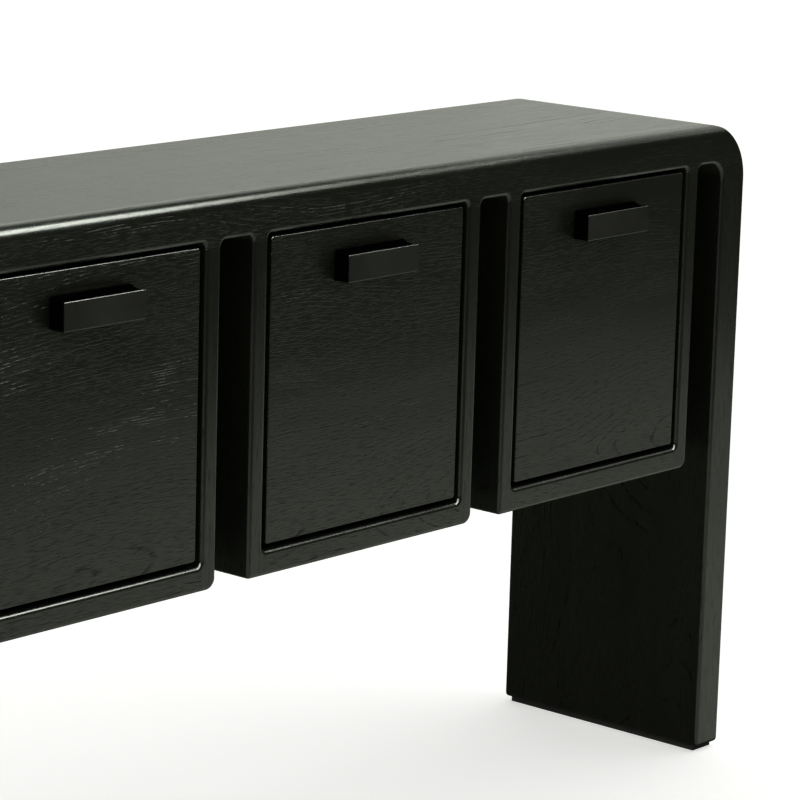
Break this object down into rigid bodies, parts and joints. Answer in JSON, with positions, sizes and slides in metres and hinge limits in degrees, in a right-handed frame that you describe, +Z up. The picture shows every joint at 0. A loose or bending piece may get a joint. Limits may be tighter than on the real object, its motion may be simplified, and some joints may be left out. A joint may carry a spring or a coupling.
{
  "type": "dresser",
  "caption": "Long low waterfall dresser in black-stained oak: rounded top-to-leg corners, boxes hung below the top with open slots between, deep inset drawers with block pulls.",
  "frame": {"origin": "on the floor under the centre of the overall box, pulls included", "axes": "+X along the length, to the right as seen from the front; the drawers face -Y; +Z up"},
  "size_m": [1.7136, 0.316, 0.76],
  "materials": {
    "black_oak": "black-stained open-grain oak, satin",
    "drawer_wood": "clear-lacquered light hardwood",
    "dowel_wood": "bare beech",
    "pull_metal": "satin black powder coat",
    "screw_steel": "zinc-plated",
    "slide_steel": "zinc-plated sheet steel",
    "foot_pad": "matte black"
  },
  "bodies": {
    "case": {"top_panel": "black_oak", "left_corner": "black_oak", "right_corner": "black_oak", "left_leg": "black_oak", "right_leg": "black_oak", "left_foot_pad": "foot_pad", "right_foot_pad": "foot_pad", "box_1_left_side": "black_oak", "box_1_right_side": "black_oak", "box_1_bottom": "black_oak", "box_1_back": "black_oak", "slide_rails_1": "slide_steel", "box_2_left_side": "black_oak", "box_2_right_side": "black_oak", "box_2_bottom": "black_oak", "box_2_back": "black_oak", "slide_rails_2": "slide_steel", "box_3_left_side": "black_oak", "box_3_right_side": "black_oak", "box_3_bottom": "black_oak", "box_3_back": "black_oak", "slide_rails_3": "slide_steel", "box_4_left_side": "black_oak", "box_4_right_side": "black_oak", "box_4_bottom": "black_oak", "box_4_back": "black_oak", "slide_rails_4": "slide_steel", "joint_dowels": "dowel_wood"},
    "drawer_1": {"drawer_1_front": "black_oak", "drawer_1_left_side": "drawer_wood", "drawer_1_right_side": "drawer_wood", "drawer_1_back": "drawer_wood", "drawer_1_bottom": "drawer_wood", "drawer_1_pull": "pull_metal", "drawer_1_pull_screws": "screw_steel", "slide_runners_1": "slide_steel"},
    "drawer_2": {"drawer_2_front": "black_oak", "drawer_2_left_side": "drawer_wood", "drawer_2_right_side": "drawer_wood", "drawer_2_back": "drawer_wood", "drawer_2_bottom": "drawer_wood", "drawer_2_pull": "pull_metal", "drawer_2_pull_screws": "screw_steel", "slide_runners_2": "slide_steel"},
    "drawer_3": {"drawer_3_front": "black_oak", "drawer_3_left_side": "drawer_wood", "drawer_3_right_side": "drawer_wood", "drawer_3_back": "drawer_wood", "drawer_3_bottom": "drawer_wood", "drawer_3_pull": "pull_metal", "drawer_3_pull_screws": "screw_steel", "slide_runners_3": "slide_steel"},
    "drawer_4": {"drawer_4_front": "black_oak", "drawer_4_left_side": "drawer_wood", "drawer_4_right_side": "drawer_wood", "drawer_4_back": "drawer_wood", "drawer_4_bottom": "drawer_wood", "drawer_4_pull": "pull_metal", "drawer_4_pull_screws": "screw_steel", "slide_runners_4": "slide_steel"}
  },
  "joints": [
    {"name": "drawer_1_slide", "type": "slide", "parent": "case", "child": "drawer_1", "axis": [0, -1, 0], "range_m": [0, 0.18]},
    {"name": "drawer_2_slide", "type": "slide", "parent": "case", "child": "drawer_2", "axis": [0, -1, 0], "range_m": [0, 0.18]},
    {"name": "drawer_3_slide", "type": "slide", "parent": "case", "child": "drawer_3", "axis": [0, -1, 0], "range_m": [0, 0.18]},
    {"name": "drawer_4_slide", "type": "slide", "parent": "case", "child": "drawer_4", "axis": [0, -1, 0], "range_m": [0, 0.18]}
  ]
}
